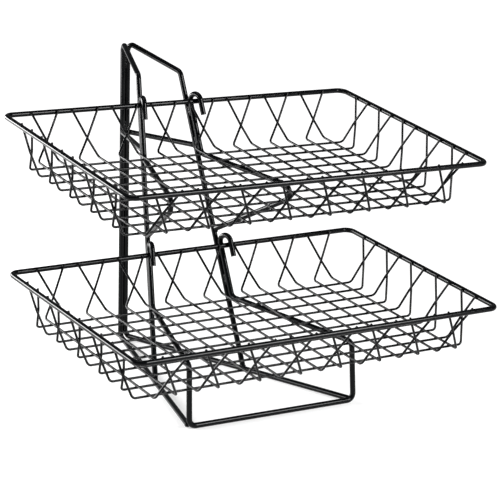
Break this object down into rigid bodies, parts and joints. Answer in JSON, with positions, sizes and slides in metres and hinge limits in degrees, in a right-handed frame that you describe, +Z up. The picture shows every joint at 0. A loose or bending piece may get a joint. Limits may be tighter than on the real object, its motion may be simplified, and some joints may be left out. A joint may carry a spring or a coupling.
{
  "type": "wire basket merchandiser",
  "caption": "Black countertop stand of bent steel rod that carries shallow wire baskets one above the other on hooks and arms, tilted forward to display small packaged goods.",
  "frame": {"origin": "on the table top, under the middle of the stand's footprint: midway between the rear posts and the front crossbar, and between the two side frames", "axes": "+Z up and -Y to the front, the way the baskets tip forward and hang out over the counter; +X to the right of someone facing the stand from the front"},
  "size_m": [0.4792, 0.4621, 0.3686],
  "materials": {
    "stand_rod": "semi-gloss black powder coat",
    "basket_rim": "semi-gloss black powder coat",
    "basket_wire": "semi-gloss black powder coat"
  },
  "bodies": {
    "stand": {"left_main_rod": "stand_rod", "right_main_rod": "stand_rod", "lower_shelf_rod": "stand_rod", "left_upper_arm": "stand_rod", "right_upper_arm": "stand_rod", "left_rear_tie": "stand_rod", "right_rear_tie": "stand_rod"},
    "lower_basket": {"lower_basket_rim": "basket_rim", "lower_basket_long_wires_1": "basket_wire", "lower_basket_long_wires_2": "basket_wire", "lower_basket_long_wires_3": "basket_wire", "lower_basket_long_wires_4": "basket_wire", "lower_basket_long_wires_5": "basket_wire", "lower_basket_long_wires_6": "basket_wire", "lower_basket_long_wires_7": "basket_wire", "lower_basket_long_wires_8": "basket_wire", "lower_basket_cross_wires_1": "basket_wire", "lower_basket_cross_wires_2": "basket_wire", "lower_basket_cross_wires_3": "basket_wire", "lower_basket_cross_wires_4": "basket_wire", "lower_basket_cross_wires_5": "basket_wire"},
    "upper_basket": {"upper_basket_rim": "basket_rim", "upper_basket_long_wires_1": "basket_wire", "upper_basket_long_wires_2": "basket_wire", "upper_basket_long_wires_3": "basket_wire", "upper_basket_long_wires_4": "basket_wire", "upper_basket_long_wires_5": "basket_wire", "upper_basket_long_wires_6": "basket_wire", "upper_basket_long_wires_7": "basket_wire", "upper_basket_long_wires_8": "basket_wire", "upper_basket_cross_wires_1": "basket_wire", "upper_basket_cross_wires_2": "basket_wire", "upper_basket_cross_wires_3": "basket_wire", "upper_basket_cross_wires_4": "basket_wire", "upper_basket_cross_wires_5": "basket_wire"}
  },
  "joints": [
    {"name": "lower_basket_tip", "type": "hinge", "parent": "stand", "child": "lower_basket", "pos_m": [-0.0032, 0.01446, 0.147], "axis": [-1, 0, -0.0087], "range_deg": [0, 23]},
    {"name": "upper_basket_tip", "type": "hinge", "parent": "stand", "child": "upper_basket", "pos_m": [0.016, 0.068, 0.3113], "axis": [-1, 0, 0.0052], "range_deg": [0, 11]}
  ]
}
